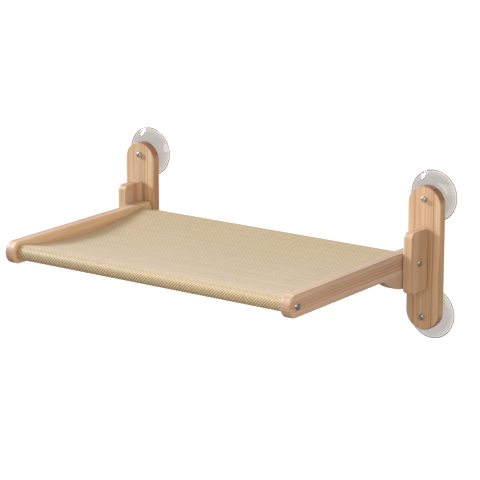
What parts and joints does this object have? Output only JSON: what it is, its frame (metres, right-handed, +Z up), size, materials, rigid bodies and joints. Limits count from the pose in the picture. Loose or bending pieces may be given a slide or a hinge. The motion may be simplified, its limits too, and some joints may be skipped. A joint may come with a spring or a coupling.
{
  "type": "window mounted cat perch",
  "caption": "Folding cat hammock for a window: woven sling on two dowels between pine arms, hinged on round-ended uprights with suction cups.",
  "frame": {"origin": "on the window glass, midway between the two brackets and level with the pivot screws, which is the middle of the four suction cups", "axes": "+X along the window to the right as seen from the room, +Y into the glass, +Z up"},
  "size_m": [0.696, 0.4162, 0.295],
  "materials": {
    "pine_board": "satin varnish",
    "pine_dowel": "satin varnish",
    "woven_sling": "coarse woven mesh",
    "clear_cup": "clear moulded PVC",
    "steel_screw": "polished",
    "zinc_screw": "zinc plated",
    "brass_insert": "turned",
    "nylon_washer": "moulded"
  },
  "bodies": {
    "window_mount": {"upright_left": "pine_board", "pivot_block_left": "pine_board", "suction_cup_lower_left": "clear_cup", "cup_insert_lower_left": "brass_insert", "cup_screw_lower_left": "steel_screw", "block_screw_lower_left": "zinc_screw", "suction_cup_upper_left": "clear_cup", "cup_insert_upper_left": "brass_insert", "cup_screw_upper_left": "steel_screw", "block_screw_upper_left": "zinc_screw", "upright_right": "pine_board", "pivot_block_right": "pine_board", "suction_cup_lower_right": "clear_cup", "cup_insert_lower_right": "brass_insert", "cup_screw_lower_right": "steel_screw", "block_screw_lower_right": "zinc_screw", "suction_cup_upper_right": "clear_cup", "cup_insert_upper_right": "brass_insert", "cup_screw_upper_right": "steel_screw", "block_screw_upper_right": "zinc_screw"},
    "hammock": {"arm_left": "pine_board", "pivot_washer_left": "nylon_washer", "pivot_screw_left": "steel_screw", "rear_dowel_insert_left": "brass_insert", "front_dowel_screw_left": "steel_screw", "front_dowel_insert_left": "brass_insert", "arm_right": "pine_board", "pivot_washer_right": "nylon_washer", "pivot_screw_right": "steel_screw", "rear_dowel_insert_right": "brass_insert", "front_dowel_screw_right": "steel_screw", "front_dowel_insert_right": "brass_insert", "front_dowel": "pine_dowel", "rear_dowel": "pine_dowel", "sling": "woven_sling"}
  },
  "joints": [
    {"name": "hammock_fold", "type": "hinge", "parent": "window_mount", "child": "hammock", "pos_m": [0, -0.0605, 0], "axis": [-1, 0, 0], "range_deg": [0, 90]}
  ]
}
